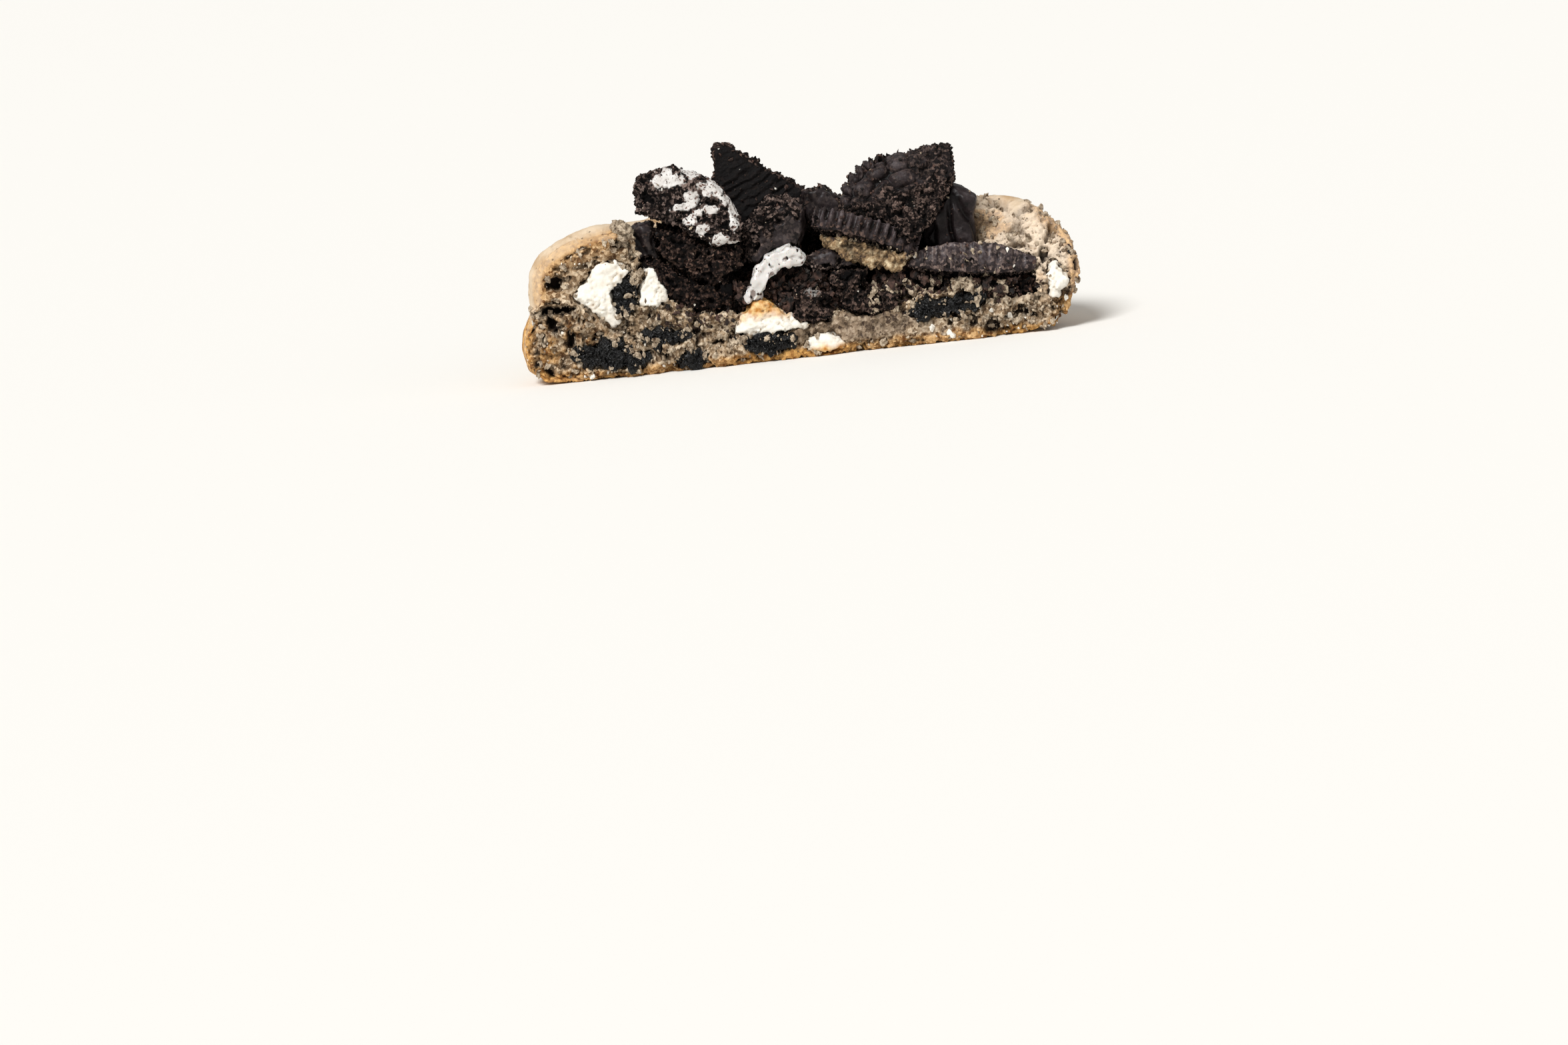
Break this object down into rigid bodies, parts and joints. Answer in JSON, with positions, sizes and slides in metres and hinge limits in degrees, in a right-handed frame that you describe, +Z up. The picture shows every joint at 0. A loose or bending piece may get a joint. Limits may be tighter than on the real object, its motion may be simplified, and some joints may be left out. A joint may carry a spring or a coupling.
{
  "type": "cookies and cream cookie half",
  "caption": "Half of a thick cookies and cream cookie, cut face forward: a risen dough rim round a crater heaped with broken ridged dark chocolate biscuits, white chocolate in the cut.",
  "frame": {"origin": "middle of the bounding box's base", "axes": "+X along the cut, to the right as the cut face is seen; +Y from the cut face towards the round back; +Z up"},
  "size_m": [0.0946, 0.048, 0.0361],
  "materials": {
    "dough": "matt, crumbly",
    "crumbs": "matt, crumbly",
    "white_chocolate": "satin, broken",
    "toasted_white": "satin, toasted",
    "sunk_biscuit": "moist, satin",
    "cream": "smooth, satin",
    "soaked_crumb": "matt, porous",
    "biscuit": "matt, baked"
  },
  "bodies": {
    "root": {"white_chunk_left": "white_chocolate", "dark_piece_left": "sunk_biscuit", "white_chunk_inner": "white_chocolate", "dark_piece_base_left": "sunk_biscuit", "dark_piece_streak_left": "sunk_biscuit", "dark_piece_base_middle": "sunk_biscuit", "toasted_white_chunk": "toasted_white", "dark_piece_under_white": "sunk_biscuit", "white_chunk_base": "toasted_white", "dark_piece_streak_right": "sunk_biscuit", "white_chunk_right": "white_chocolate", "cream_strand": "cream", "edge_piece_middle": "biscuit", "soaked_crumb_middle": "soaked_crumb", "edge_piece_right": "biscuit", "crumb_lump_right": "crumbs", "cream_covered_piece": "biscuit", "block_under_cream": "biscuit", "block_left_low": "biscuit", "small_piece_left": "biscuit", "round_piece_middle": "biscuit", "crumb_piece_slate": "biscuit", "crumb_piece_centre": "biscuit", "crumb_piece_low": "biscuit", "crumb_piece_right": "biscuit", "embossed_piece": "biscuit", "pointed_shard": "biscuit", "small_piece_middle": "biscuit", "curled_piece_right": "biscuit", "edge_piece_back_left": "biscuit", "edge_piece_back_right": "biscuit", "edge_piece_back_middle": "biscuit", "block_top_middle": "biscuit", "block_back_left": "biscuit", "block_back_middle": "biscuit", "block_right_inner": "biscuit", "block_left_inner": "biscuit", "dough_half": "dough", "crumb_bed": "crumbs"}
  },
  "joints": []
}
